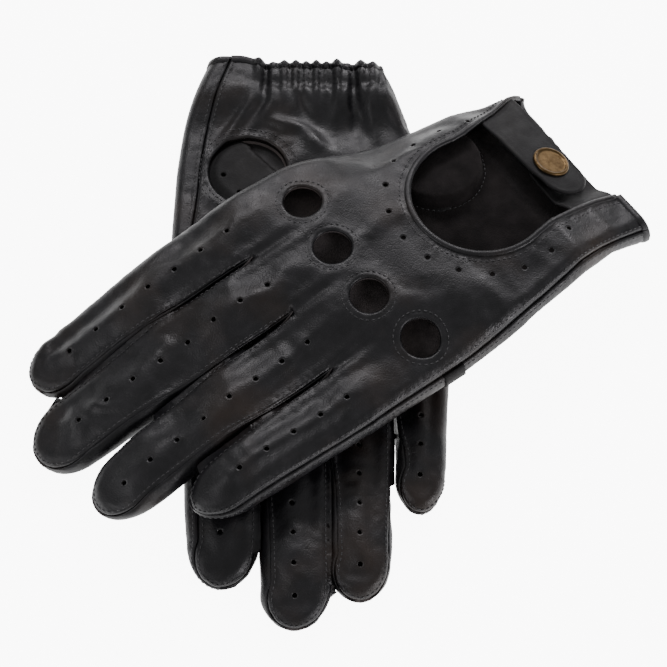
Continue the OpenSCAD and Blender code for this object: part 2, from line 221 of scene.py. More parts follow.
# %% Roll the flat pattern onto the glove
FOLDS = [(11.0, 0.4, 0.8), (8.2, 2.1, 0.7), (14.5, 4.0, 0.6)]
RIDGES = [(24, 17, 38, 40, 1.9, 2.3), (17, 20, 27, 34, 1.2, 2.0), (19, 29, 5, 33, 1.7, 2.8), (5, 33, -3, 45, 2.0, 3.4),
          (9, 13, 3, 27, -1.6, 2.4), (-8, 13, -7, 34, 1.3, 2.4), (-15, 13, -16, 38, -1.3, 2.8),
          (-21, 14, -24, 38, 1.4, 2.6), (-27, 15, -38, 40, 1.3, 2.6)]


def ridge(x, y, x0, y0, x1, y1, height, width):
    """A fold along a straight line, raised by height and falling off over width."""
    t = np.clip(((x - x0) * (x1 - x0) + (y - y0) * (y1 - y0)) / ((x1 - x0) ** 2 + (y1 - y0) ** 2), 0, 1)
    d = np.hypot(x - x0 - t * (x1 - x0), y - y0 - t * (y1 - y0))
    return height * np.exp(-((d / width) ** 2)) * np.sin(math.pi * (0.12 + 0.76 * t))


def gathers(g, x, y):
    """Folds that the wrist elastic pulls into the palm: tight at the elastic, fading into the hand."""
    middle = ramp(x, -33, -24) * (1 - ramp(x, 20, 29))
    small = np.cos(2 * math.pi * x / 4.6 + 1.3 * np.sin(x / 7)) * (1 - ramp(y, 8, 24)) * 0.95
    wide = sum(a * np.sin(2 * math.pi * x / (w * (1 + y / 90)) + p) for w, p, a in FOLDS) * (1 - ramp(y, 12, 46))
    wave = middle * (small + 0.75 * wide) - 0.8 * middle * np.exp(-(((y - 10) / 2.4) ** 2))
    if g["back_up"]:
        return 0.4 * wave
    return wave + sum(ridge(x, y, *fold) for fold in RIDGES) * ramp(y, 4, 14)


def settle(g, x, y):
    """How a worn glove has settled, as shifts along x, y and z: the wrist of the upper glove rolls over its
    thumb edge, and the elastic draws the lower glove's wrist edge in."""
    if g["back_up"]:
        edge = (1 - ramp(y, 58, 112)) * mix(0.45, 1.0, ramp(y, 2, 24))
        roll = ramp(x, 30, 54) * edge
        wrist = (1 - ramp(y, 0, 62)) * ramp(x, -45, 5)
        out = ramp(x, -34, -52) * (1 - ramp(y, 90, 130))
        return -4.5 * roll - 1.3 * out, 2.0 * wrist, -6.5 * roll - 3.0 * ramp(x, 8, 45) * edge - 1.0 * wrist
    middle = ramp(x, -36, -20) * (1 - ramp(x, 18, 32))
    return 0 * x, 3.3 * middle * (1 - ramp(y, 2, 45)), 0 * x


PRESSED = {("left", 0, -1): 1.3, ("left", 1, 1): 1.3, ("left", 1, -1): 2.4, ("left", 2, 1): 1.8,
           ("right", 0, -1): 1.6, ("right", 1, 1): 0.8, ("right", 1, -1): 1.2, ("right", 2, 1): 1.6}


def touch(g, i, sign, y):
    """Neighbouring fingers press together, in mm at the side that sign points to."""
    more = PRESSED.get(("left" if g["back_up"] else "right", i, sign), 0.0)
    tip = g["fingers"][i][4]
    near = 1.15 * (1 - ramp(y, FORK + 30, tip - 22))
    return ramp(y, FORK - 20, FORK + 2) * near + more * ramp(y, FORK + 15, FORK + 45) * (1 - ramp(y, tip - 26, tip))


def section(g, i, x, y):
    """Side radius and crown of the tube at a pattern point."""
    tip = g["fingers"][i][4]
    f = ramp(y, FORK - 15, FORK + 12)
    wrist = 1 - ramp(y, *g["wrist_zone"])
    r = mix(mix(g["hand_r"], 6.3, wrist), g["finger_r"], f) * (1 - 0.24 * ramp(y, tip - 30, tip + 4))
    return r, mix(g["hand_crown"], 0.8, wrist) * (1 - (x / 60) ** 2)


def skin(g, up, x, y, fingers=None):
    """Pattern points (x, y) in mm to places on the outer surface, in the common frame, in mm."""
    x, y = np.atleast_1d(np.asarray(x, float)), np.atleast_1d(np.asarray(y, float))
    which = finger_of(g, x, y) if fingers is None else np.broadcast_to(fingers, x.shape)
    place = np.zeros((len(x), 3))
    for i in range(4):
        m = which == i
        if not m.any():
            continue
        px, py = x[m], y[m]
        bend_y = g["fingers"][i][4] - TIP_ROUND
        cy = np.minimum(py, bend_y)
        c, w = centre(g, i, cy), half(g, i, cy)
        dx, dy = px - c, np.maximum(py - bend_y, 0)
        s = np.hypot(dx, dy)
        inner = {0: dx < 0, 3: dx > 0}.get(i, np.ones(len(px), bool))
        w = w + inner * np.where(dx > 0, touch(g, i, 1, cy), touch(g, i, -1, cy))
        ux = np.where(s > 1e-6, dx / np.maximum(s, 1e-6), 1)
        uy = np.where(s > 1e-6, dy / np.maximum(s, 1e-6), 0)
        reach = 1 / np.sqrt((ux / w) ** 2 + (uy / TIP_ROUND) ** 2)
        r, crown = section(g, i, px, py)
        r = np.minimum(r, 0.8 * reach)
        level = reach - r
        angle = np.clip((s - level) / r, 0, math.pi)
        past = np.maximum(s - level - math.pi * r, 0)
        out = np.where(s < level, s, level + r * np.sin(angle) - past)
        height = np.where(s < level, r, r * np.cos(angle))
        roll = np.where(inner, ramp(py, FORK - 28, FORK + 6), 1)
        out, height = mix(s, out, roll), mix(r, height, roll)
        fx, fy = c + ux * out, cy + uy * out
        f = ramp(py, FORK - 30, FORK + 14)
        dome = g["finger_crown"] * np.cos(math.pi / 2 * np.clip(s / np.maximum(level, 0.1), 0, 1)) ** 2
        rise = height if up else -height
        z = underside(g, fx, fy) + r + rise + mix(crown, dome, f) * np.clip(rise / r, 0, 1)
        if up != g["back_up"]:
            z = z + (1 if up else -1) * gathers(g, px, py)
        sx, sy, sz = settle(g, fx, fy)
        place[m] = np.column_stack([*to_frame(g, fx + sx, fy + sy), np.maximum(z + sz, 0.0)])
    return place


def skin_normal(g, up, x, y, fingers=None):
    e = 0.4
    a = skin(g, up, x + e, y, fingers) - skin(g, up, x - e, y, fingers)
    b = skin(g, up, x, y + e, fingers) - skin(g, up, x, y - e, fingers)
    n = np.cross(a, b) * (1 if up else -1)
    return n / np.maximum(np.linalg.norm(n, axis=1), 1e-9)[:, None]


print("left middle knuckle at", np.round(skin(GLOVES["left"], True, 12, 111)[0], 1))

# %% [markdown]
# The cutting lines. A panel's edge lies where its seam is, a fixed angle round the side of the tube, which grows
# towards the fingertip so that the seams meet at its end. The palm wraps up round the two outer sides of the
# hand to meet the back there, and strips called fourchettes fill the sides between the fingers.

# %% Cutting lines of a panel
SEAMS_SEEN = {"left": {1: 60, -1: 14}, "right": {1: 6, -1: 58}}


def seam_angle(g, sign, y, palm):
    """The upper panel's seams wander on the fingers, since every finger lies a little rolled to one side."""
    if g["back_up"] == palm:
        return SEAM_ANGLE
    seen = SEAMS_SEEN["left" if g["back_up"] else "right"][sign]
    return mix(SEAM_ANGLE, math.radians(seen), float(ramp(y, FORK + 10, FORK + 58)))


def palm_reach(g, i, sign, direction, y, outer, palm):
    """Arc length from the finger's middle to the seam, and the tube's level width and radius there."""
    bend_y = g["fingers"][i][4] - TIP_ROUND
    w = half(g, i, min(y, bend_y)) + (0 if outer else float(touch(g, i, sign, min(y, bend_y))))
    reach = 1 / math.sqrt((math.cos(direction) / w) ** 2 + (math.sin(direction) / TIP_ROUND) ** 2)
    r = min(float(section(g, i, 0, y + reach * math.sin(direction))[0]), 0.8 * reach)
    level = float(reach - r)
    side = level + seam_angle(g, sign, y, palm) * r
    if outer and i == 0:
        side = mix(level + r - THUMB_SIDE_STRIP, side, float(ramp(y, 60, FORK)))
    if outer and i == 3:
        side = level + (math.pi - SEAM_ANGLE) * r
    to_tip = float(ramp(direction, 0, math.pi / 2))
    return mix(side, level + math.radians(88) * r, to_tip), level, r


def seam_reach(g, i, sign, direction, y, outer, palm):
    side, level, r = palm_reach(g, i, sign, direction, y, outer, True if outer else palm)
    if palm or not outer:
        return side
    return 2 * level + math.pi * r - side


def finger_edge(g, i, sign, palm, steps=14, start=FORK + 6.0):
    """Edge of finger i from the fork to the middle of its tip, on the side that sign points to."""
    outer = (i, sign) in ((0, 1), (3, -1))
    bend_y = g["fingers"][i][4] - TIP_ROUND
    ys = np.linspace(start, bend_y, 40)
    line = [(float(centre(g, i, y)) + sign * seam_reach(g, i, sign, 0, y, outer, palm), float(y)) for y in ys]
    c = float(centre(g, i, bend_y))
    for k in range(1, steps + 1):
        a = math.pi / 2 * k / steps
        s = seam_reach(g, i, sign, a, bend_y, outer, palm)
        line.append((c + sign * s * math.cos(a), bend_y + s * math.sin(a)))
    return line


def hand_edge(g, i, sign, palm):
    return [(float(centre(g, i, y)) + sign * seam_reach(g, i, sign, 0, y, True, palm), float(y))
            for y in np.linspace(0, FORK + 6, 50)[:-1]]


def cutting_line(g, palm):
    line = hand_edge(g, 0, 1, palm) + finger_edge(g, 0, 1, palm)
    for i in range(4):
        line += finger_edge(g, i, -1, palm)[::-1][1:]
        if i < 3:
            line += [(float(line_x(g, i + 1, FORK)), FORK)] + finger_edge(g, i + 1, 1, palm)
    return line + hand_edge(g, 3, -1, palm)[::-1]


def keyhole_line(grow=0.0):
    r = KEYHOLE_R + grow
    x, y = KEYHOLE_AT
    arc = [(x + r * math.cos(math.radians(a)), y + r * math.sin(math.radians(a))) for a in range(-12, 196, 3)]
    return ([(47 + grow, -12), (44 + grow, -4), (40.5 + grow, 7), (38 + grow, 13), (35 + grow, 20),
             (32.5 + grow, 27), (30.4 + grow, 33), (29.2 + grow, 39)] + arc
            + [(-23.3 - grow, 36), (-22.4 - grow, 28), (-21.7 - grow, 20), (-21.5 - grow, 12),
               (-22.2 - grow, 2), (-23 - grow, -12)])


def round_line(at, r, steps):
    return [(at[0] + r * math.cos(2 * math.pi * k / steps), at[1] + r * math.sin(2 * math.pi * k / steps))
            for k in range(steps)]


def vents(g, palm):
    """Places of the ventilation holes."""
    places = [(float(finger_centre(g, i, y)), float(y)) for i in range(4)
              for y in np.arange(FORK + 2, g["fingers"][i][4] - 9, 12.0)]
    if not palm:
        r = KEYHOLE_R + 9
        places += [(KEYHOLE_AT[0] + r * math.cos(math.radians(a)), KEYHOLE_AT[1] + r * math.sin(math.radians(a)))
                   for a in range(-28, 213, 20)]
    return places


print("back panel outline points:", len(cutting_line(GLOVES["left"], False)))

# %% [markdown]
# Cutting a panel. The outline, the openings and a field of points inside go to a triangulation, which makes an
# even net of small triangles with true round holes. It stands for the flat hide after cutting. Each vertex keeps
# its distance from the nearest cut, because that's where leather is turned, sewn and puckered.

# %% Cut a panel from the pattern
def resample(line, step, closed=True):
    pts = np.array(line + [line[0]] if closed else line, float)
    d = np.concatenate([[0], np.cumsum(np.hypot(*np.diff(pts, axis=0).T))])
    n = max(3, int(round(d[-1] / step)))
    t = np.linspace(0, d[-1], n + 1)[: -1 if closed else None]
    return np.column_stack([np.interp(t, d, pts[:, 0]), np.interp(t, d, pts[:, 1])])


def inside(points, line):
    x, y = points[:, 0], points[:, 1]
    hit = np.zeros(len(points), bool)
    a = np.asarray(line, float)
    for (x1, y1), (x2, y2) in zip(a, np.roll(a, -1, axis=0)):
        cross = ((y1 > y) != (y2 > y)) & (x < (x2 - x1) * (y - y1) / (y2 - y1 + 1e-12) + x1)
        hit ^= cross
    return hit


def nearest(points, edge):
    """Distance from each point to the nearest edge point."""
    tree = KDTree(len(edge))
    for k, p in enumerate(edge):
        tree.insert((p[0], p[1], 0), k)
    tree.balance()
    return np.array([tree.find((p[0], p[1], 0))[2] for p in points])


def cut_panel(outline, openings, small_holes, step):
    """Net of triangles: (pattern points, faces, distance to the nearest sewn edge)."""
    loops = [resample(outline, min(step, 1.4))] + [resample(o, min(step, 1.1)) for o in openings]
    sewn = np.vstack(loops)
    rows = []
    for loop in loops:
        ahead, behind = np.roll(loop, -1, axis=0), np.roll(loop, 1, axis=0)
        normal = np.column_stack([-(ahead - behind)[:, 1], (ahead - behind)[:, 0]])
        normal /= np.maximum(np.hypot(*normal.T), 1e-9)[:, None]
        for inset, skip in ((0.6, 1), (1.3, 1), (2.1, 1), (3.0, 2)):
            rows += [loop[::skip] + normal[::skip] * inset, loop[::skip] - normal[::skip] * inset]
    low, high = sewn.min(0), sewn.max(0)
    gx, gy = np.meshgrid(np.arange(low[0], high[0], step), np.arange(low[1], high[1], step * 0.866))
    gx[1::2] += step / 2
    grid = np.column_stack([gx.ravel(), gy.ravel()])
    if step > 2.5:
        rows = [grid[nearest(grid, sewn) > 0.6 * step]]
    else:
        rows = [p[nearest(p, sewn) > 0.5] for p in rows] + [grid[nearest(grid, sewn) > 3.4]]
    field = np.vstack(rows)
    for at, r in small_holes:
        field = field[np.hypot(field[:, 0] - at[0], field[:, 1] - at[1]) > r + 0.6]
        loops.append(np.array(round_line(at, r, 12)))
        field = np.vstack([field, round_line(at, r + 0.7, 12)])
    keep = inside(field, outline)
    for o in openings:
        keep &= ~inside(field, o)
    points, edges = [], []
    for loop in loops:
        first = len(points)
        points += [Vector(p) for p in loop]
        edges += [(first + k, first + (k + 1) % len(loop)) for k in range(len(loop))]
    points += [Vector(p) for p in field[keep]]
    verts, _, faces, *_ = delaunay_2d_cdt(points, edges, [], 0, 1e-4)
    verts = np.array([tuple(v) for v in verts])
    faces = [f for f in faces if len(f) == 3]
    mid = np.array([verts[list(f)].mean(0) for f in faces])
    good = inside(mid, outline)
    for o in openings:
        good &= ~inside(mid, o)
    for at, r in small_holes:
        good &= np.hypot(mid[:, 0] - at[0], mid[:, 1] - at[1]) > r * 0.93
    faces = [f for f, ok in zip(faces, good) if ok]
    used = sorted({v for f in faces for v in f})
    index = {v: k for k, v in enumerate(used)}
    verts = verts[used]
    return verts, [tuple(index[v] for v in f) for f in faces], nearest(verts, sewn)


# %% [markdown]
# Finishes. Black nappa is a full-grain sheepskin with a fine pebbled grain: the pebbles are under a millimetre,
# so they are drawn about 0.8 mm across, and between them run finer creases. The gloss is soft and uneven,
# and dye wears a little brown on the raised spots. One helper adds a node with its settings and its links.

# %% Materials
def linear(hex_colour):
    out = []
    for k in (1, 3, 5):
        c = int(hex_colour[k:k + 2], 16) / 255
        out.append(c / 12.92 if c <= 0.04045 else ((c + 0.055) / 1.055) ** 2.4)
    return (*out, 1.0)


def add(tree, kind, settings=None, inputs=None, links=None):
    """Adds a node; links maps an input to (node, output name)."""
    node = tree.nodes.new(kind)
    for key, value in (settings or {}).items():
        setattr(node, key, value)
    for key, value in (inputs or {}).items():
        node.inputs[key].default_value = value
    for key, (source, output) in (links or {}).items():
        tree.links.new(source.outputs[output], node.inputs[key])
    return node


def new_finish(name, settings):
    material = bpy.data.materials.new(name)
    material.use_nodes = True
    shader = material.node_tree.nodes["Principled BSDF"]
    for key, value in settings.items():
        shader.inputs[key].default_value = value
    return material, material.node_tree, shader


def ramp_node(tree, source, output, stops):
    node = add(tree, "ShaderNodeValToRGB", links={"Fac": (source, output)})
    for k, (at, colour) in enumerate(stops):
        element = node.color_ramp.elements[k] if k < 2 else node.color_ramp.elements.new(at)
        element.position = at
        element.color = colour
    return node


def leather(name, dark, light, worn, rough, grain, creases, coat=0.0):
    material, tree, shader = new_finish(name, {"IOR": 1.5, "Coat Weight": coat, "Coat Roughness": 0.3})
    place = add(tree, "ShaderNodeTexCoord")
    mm = add(tree, "ShaderNodeMapping", inputs={"Scale": (1000, 1000, 1000)}, links={"Vector": (place, "Object")})
    broad = add(tree, "ShaderNodeTexNoise", inputs={"Scale": 0.035, "Detail": 4.0}, links={"Vector": (mm, "Vector")})
    patch = add(tree, "ShaderNodeTexNoise", inputs={"Scale": 0.16, "Detail": 5.0, "Roughness": 0.6},
                links={"Vector": (mm, "Vector")})
    pebble = add(tree, "ShaderNodeTexVoronoi", {"feature": "SMOOTH_F1"}, {"Scale": 1.7, "Smoothness": 0.35},
                 {"Vector": (mm, "Vector")})
    crease = add(tree, "ShaderNodeTexVoronoi", {"feature": "DISTANCE_TO_EDGE"}, {"Scale": 0.42},
                 {"Vector": (mm, "Vector")})
    fine = add(tree, "ShaderNodeTexNoise", inputs={"Scale": 2.6, "Detail": 3.0}, links={"Vector": (mm, "Vector")})
    tone = ramp_node(tree, patch, "Fac", [(0.32, linear(dark)), (0.68, linear(light))])
    brown = ramp_node(tree, broad, "Fac", [(0.5, (0, 0, 0, 1)), (0.74, (0.5, 0.5, 0.5, 1))])
    colour = add(tree, "ShaderNodeMix", {"data_type": "RGBA"}, {7: linear(worn)})
    tree.links.new(brown.outputs["Color"], colour.inputs[0])
    tree.links.new(tone.outputs["Color"], colour.inputs[6])
    tree.links.new(colour.outputs[2], shader.inputs["Base Color"])
    gloss = add(tree, "ShaderNodeMapRange", inputs={"From Min": 0.3, "From Max": 0.7, "To Min": rough - 0.07,
                                                    "To Max": rough + 0.1}, links={"Value": (patch, "Fac")})
    tree.links.new(gloss.outputs["Result"], shader.inputs["Roughness"])
    line = add(tree, "ShaderNodeMapRange", inputs={"From Min": 0.0, "From Max": 0.12, "To Min": 0.0, "To Max": 1.0},
               links={"Value": (crease, "Distance")})
    first = add(tree, "ShaderNodeBump", inputs={"Strength": creases, "Distance": 0.00012},
                links={"Height": (line, "Result")})
    second = add(tree, "ShaderNodeBump", inputs={"Strength": grain, "Distance": 0.00016},
                 links={"Height": (pebble, "Distance"), "Normal": (first, "Normal")})
    third = add(tree, "ShaderNodeBump", inputs={"Strength": grain * 0.6, "Distance": 0.00008},
                links={"Height": (fine, "Fac"), "Normal": (second, "Normal")})
    tree.links.new(third.outputs["Normal"], shader.inputs["Normal"])
    return material


nappa = leather("black_nappa_leather", "#0b0b0e", "#131216", "#33261d", 0.4, 0.3, 0.16)
matt_nappa = leather("matt_black_nappa_leather", "#111112", "#191819", "#201d1b", 0.6, 0.3, 0.12)
suede = leather("black_suede_flesh_side", "#1c1a1a", "#2c2929", "#2f2a28", 0.95, 0.9, 0.0)
for material, level in ((matt_nappa, 0.3), (suede, 0.12)):
    material.node_tree.nodes["Principled BSDF"].inputs["Specular IOR Level"].default_value = level
edge = leather("dyed_cut_leather_edge", "#161313", "#221d1b", "#2a2320", 0.7, 0.6, 0.0)

# Painted light: beyond 34 mm from the keyhole of the upper glove the flesh side is painted paler, up to five and a
# half times at 55 mm and further, which brightens the insides seen through the knuckle holes; round the keyhole it
# keeps its dark tone.
tree = suede.node_tree
shader = tree.nodes["Principled BSDF"]
tone = shader.inputs["Base Color"].links[0].from_node
keyhole = to_frame(GLOVES["left"], *KEYHOLE_AT)
place = add(tree, "ShaderNodeTexCoord")
away = add(tree, "ShaderNodeVectorMath", {"operation": "DISTANCE"}, {1: (keyhole[0] * MM, keyhole[1] * MM, 0.02)},
           {0: (place, "Object")})
share = add(tree, "ShaderNodeMapRange", inputs={"From Min": 0.034, "From Max": 0.055, "To Min": 1.0, "To Max": 5.5},
            links={"Value": (away, "Value")})
painted_light_gain = add(tree, "ShaderNodeVectorMath", {"operation": "SCALE"}, links={"Scale": (share, "Result")})
tree.links.new(tone.outputs[2], painted_light_gain.inputs[0])
tree.links.new(painted_light_gain.outputs["Vector"], shader.inputs["Base Color"])
print("finishes:", nappa.name, matt_nappa.name, suede.name, edge.name)

# %% [markdown]
# Thread, elastic and metal. Polyester thread has a slight sheen and a twist of about half a millimetre. The
# elastic is woven. The press stud is brass with an antique finish: dark in the hollows and rubbed bright on
# its rim, so roughness and colour both follow a blotchy pattern.

# %% Thread, elastic and brass
thread, tree, shader = new_finish("black_polyester_thread", {"Roughness": 0.5, "IOR": 1.5, "Sheen Weight": 0.2})
place = add(tree, "ShaderNodeTexCoord")
twist = add(tree, "ShaderNodeTexWave", {"bands_direction": "DIAGONAL"}, {"Scale": 700.0, "Distortion": 1.0},
            {"Vector": (place, "Object")})
shade = ramp_node(tree, twist, "Fac", [(0.0, linear("#1e1d1f")), (1.0, linear("#403f42"))])
tree.links.new(shade.outputs["Color"], shader.inputs["Base Color"])
lay = add(tree, "ShaderNodeBump", inputs={"Strength": 0.5, "Distance": 0.0001}, links={"Height": (twist, "Fac")})
tree.links.new(lay.outputs["Normal"], shader.inputs["Normal"])

elastic, tree, shader = new_finish("woven_black_elastic", {"Roughness": 0.85, "IOR": 1.5, "Sheen Weight": 0.3})
place = add(tree, "ShaderNodeTexCoord")
warp = add(tree, "ShaderNodeTexWave", {"bands_direction": "Y"}, {"Scale": 350.0}, {"Vector": (place, "Object")})
weft = add(tree, "ShaderNodeTexWave", {"bands_direction": "X"}, {"Scale": 500.0}, {"Vector": (place, "Object")})
weave = add(tree, "ShaderNodeMath", {"operation": "MULTIPLY"}, links={0: (warp, "Fac"), 1: (weft, "Fac")})
shade = ramp_node(tree, weave, "Value", [(0.0, linear("#0e0e0e")), (1.0, linear("#242424"))])
tree.links.new(shade.outputs["Color"], shader.inputs["Base Color"])
lay = add(tree, "ShaderNodeBump", inputs={"Strength": 0.6, "Distance": 0.0002}, links={"Height": (weave, "Value")})
tree.links.new(lay.outputs["Normal"], shader.inputs["Normal"])

brass, tree, shader = new_finish("antiqued_brass", {"Metallic": 1.0})
place = add(tree, "ShaderNodeTexCoord")
blotch = add(tree, "ShaderNodeTexNoise", inputs={"Scale": 420.0, "Detail": 6.0, "Roughness": 0.65},
             links={"Vector": (place, "Object")})
shade = ramp_node(tree, blotch, "Fac", [(0.3, linear("#4a3923")), (0.62, linear("#6b583d"))])
tree.links.new(shade.outputs["Color"], shader.inputs["Base Color"])
rub = add(tree, "ShaderNodeMapRange", inputs={"From Min": 0.3, "From Max": 0.7, "To Min": 0.48, "To Max": 0.28},
          links={"Value": (blotch, "Fac")})
tree.links.new(rub.outputs["Result"], shader.inputs["Roughness"])
lay = add(tree, "ShaderNodeBump", inputs={"Strength": 0.25, "Distance": 0.0001}, links={"Height": (blotch, "Fac")})
tree.links.new(lay.outputs["Normal"], shader.inputs["Normal"])
print("finishes:", thread.name, elastic.name, brass.name)

# %% [markdown]
# Relief near the seams: the edge is turned under, the stitches pull a shallow groove beside it, and the leather
# swells between. Away from the seams there are slow waves and fine creases across the fingers, where a worn
# glove bends. All of it is a push along the surface's own normal.

# %% Relief of sewn leather
def relief(g, palm, points, distance):
    x, y = points[:, 0], points[:, 1]
    side = 11.0 if g["back_up"] else 53.0
    slow = np.array([noise.noise(Vector((a / 24, b / 24, side + 5 * palm))) for a, b in points])
    across = np.array([noise.noise(Vector((a / 16, b / 4.6, side + 9 + 5 * palm))) for a, b in points])
    pucker = np.array([noise.noise(Vector((a / 2.6, b / 2.6, side + 20))) for a, b in points])
    crumple = np.array([noise.noise(Vector((a / 7, b / 6, side + 31))) for a, b in points])
    bends = sum(np.exp(-((y - k) / 9) ** 2) for k in (FORK + 8, FORK + 48))
    fold = 0.75 * slow + 0.55 * across * np.clip(bends, 0, 1) * ramp(y, FORK - 30, FORK)
    if g["back_up"]:
        tips = ramp(y, 196, 214) * ramp(x, -6, 8)
    else:
        tips = ramp(y, 205, 225) * 0.5
    fold = fold + 1.5 * np.maximum(crumple, -0.25) * tips
    near = np.exp(-distance / 4.5)
    turned = -0.55 * np.exp(-((distance / 0.55) ** 2)) + 0.16 * np.exp(-(((distance - 1.3) / 0.7) ** 2))
    groove = -0.22 * np.exp(-(((distance - 2.3) / 0.45) ** 2))
    return fold * (1 - np.exp(-distance / 5)) + turned + groove + 0.3 * pucker * near * (distance > 0.3)


def finished(name, mesh, material, body, nodes=(), smooth=True):
    """Puts a mesh into the scene as a piece that rides on a body and stands for its CAD nodes."""
    piece = bpy.data.objects.new(name, mesh)
    bpy.context.scene.collection.objects.link(piece)
    for m in material if isinstance(material, (list, tuple)) else [material]:
        mesh.materials.append(m)
    for polygon in mesh.polygons:
        polygon.use_smooth = smooth
    if body:
        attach(piece, body)
    if nodes:
        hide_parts(*nodes)
    return piece


def net_mesh(name, places, faces):
    mesh = bpy.data.meshes.new(name)
    mesh.from_pydata([tuple(p) for p in places], [], faces)
    mesh.update()
    return mesh


def vertex_normals(mesh):
    out = np.zeros(len(mesh.vertices) * 3)
    mesh.vertex_normals.foreach_get("vector", out)
    return out.reshape(-1, 3)


# %% [markdown]
# Cloth simulation gives the slack that sewing leaves: the leather is cut a few per cent larger than the shape
# it is sewn into, so it buckles softly between seams that hold still. A coarse copy of the panel is simulated
# with its sewn edges pinned, and the fine panel then follows the coarse one.

# %% Let a panel slacken between its seams
SLACK = {("left", False): 0.006, ("left", True): 0.01, ("right", True): 0.012, ("right", False): 0.004}
CAP = 0.9


def slacken(side, palm, outline, openings):
    """Returns (start points, moves), in metres, of the simulated coarse panel."""
    g = GLOVES[side]
    up = g["back_up"] != palm
    verts, faces, distance = cut_panel(outline, openings, [], 3.2)
    start = skin(g, up, verts[:, 0], verts[:, 1]) * MM
    mesh = net_mesh("slack", start, faces)
    coarse = bpy.data.objects.new("slack", mesh)
    bpy.context.scene.collection.objects.link(coarse)
    held = coarse.vertex_groups.new(name="held")
    for k, d in enumerate(distance):
        weight = 1.0 if d < 1.6 else 0.02
        held.add([k], weight, "REPLACE")
    cloth = coarse.modifiers.new("slack", "CLOTH")
    cloth.settings.quality = 6
    cloth.settings.mass = 0.2
    cloth.settings.tension_stiffness = 25
    cloth.settings.compression_stiffness = 25
    cloth.settings.shear_stiffness = 8
    cloth.settings.bending_stiffness = 2.0
    cloth.settings.vertex_group_mass = "held"
    cloth.settings.shrink_min = -SLACK[side, palm]
    cloth.settings.effector_weights.gravity = 0
    cloth.point_cache.frame_start, cloth.point_cache.frame_end = 1, 18
    for k in range(1, 19):
        bpy.context.scene.frame_set(k)
    shape = coarse.evaluated_get(bpy.context.evaluated_depsgraph_get()).to_mesh()
    end = np.array([v.co[:] for v in shape.vertices])
    coarse.evaluated_get(bpy.context.evaluated_depsgraph_get()).to_mesh_clear()
    bpy.data.objects.remove(coarse)
    bpy.context.scene.frame_set(1)
    move = end - start
    size = np.linalg.norm(move, axis=1)
    move *= (np.minimum(size, CAP * MM) / np.maximum(size, 1e-9))[:, None]
    print(side, "palm" if palm else "back", "slack, largest move in mm:", round(float(size.max() / MM), 2))
    return start, move


def follow(places, start, move):
    """Moves places, in metres, with the nearest points of the simulated panel."""
    tree = KDTree(len(start))
    for k, p in enumerate(start):
        tree.insert(p, k)
    tree.balance()
    out = places.copy()
    for k, p in enumerate(places):
        near = tree.find_n(p, 6)
        weight = np.array([1 / (d + 0.0008) ** 2 for _, _, d in near])
        out[k] += (weight[:, None] * move[[i for _, i, _ in near]]).sum(0) / weight.sum()
    return out


# %% [markdown]
# The back and the palm are the two big panels. Each is cut, rolled onto the glove, slackened, given its relief
# and then its thickness, about a millimetre, with the suede flesh side inwards. The openings of the back are
# the keyhole over the back of the hand and four knuckle holes. The palm has the arch where the thumb is set in.

# %% Back and palm panels
LEATHER = 0.9
PANELS = {}


def panel(side, palm):
    g = GLOVES[side]
    up = g["back_up"] != palm
    outline = cutting_line(g, palm)
    if palm:
        openings = [round_line(THUMB_AT, 15.5, 64)]
    else:
        openings = [keyhole_line()] + [round_line(at, KNUCKLE_R, 40) for at in g["knuckles"]]
    start, move = slacken(side, palm, outline, openings)
    verts, faces, distance = cut_panel(outline, openings, [(v, VENT_R) for v in vents(g, palm)], 1.4)
    places = follow(skin(g, up, verts[:, 0], verts[:, 1]) * MM, start, move)
    name = f"{side}_{'palm' if palm else 'back'}_leather"
    if not up:
        faces = [f[::-1] for f in faces]
    mesh = net_mesh(name, places, faces)
    normal = vertex_normals(mesh)
    places = places + normal * (relief(g, palm, verts, distance) * MM)[:, None]
    places[:, 2] = np.maximum(places[:, 2], 0.0)
    mesh.vertices.foreach_set("co", places.ravel())
    mesh.update()
    node = f"{side}_{'palm' if palm else 'back'}_panel"
    piece = finished(name, mesh, [nappa, suede, edge], f"{side}_glove", [node])
    wall = piece.modifiers.new("thickness", "SOLIDIFY")
    wall.thickness = LEATHER * MM
    wall.offset = -1
    wall.material_offset = 1
    wall.material_offset_rim = 2
    PANELS[side, palm] = (start, move)
    return piece


for side in GLOVES:
    for palm in (False, True):
        panel(side, palm)

# %% [markdown]
# Fourchettes are the narrow strips between two fingers: each runs from one fingertip down to the fork and up to
# the next fingertip. A strip is laid between the seam of the back and the seam of the palm and bulges a little
# between them.

# %% Fourchettes
def strip_mesh(name, rows):
    """Mesh from rows of places, all of one length, in metres."""
    form = bmesh.new()
    loops = [[form.verts.new(p) for p in row] for row in rows]
    for a, b in zip(loops, loops[1:]):
        for k in range(len(a) - 1):
            form.faces.new((a[k], a[k + 1], b[k + 1], b[k]))
    mesh = bpy.data.meshes.new(name)
    bmesh.ops.recalc_face_normals(form, faces=form.faces)
    form.to_mesh(mesh)
    form.free()
    return mesh


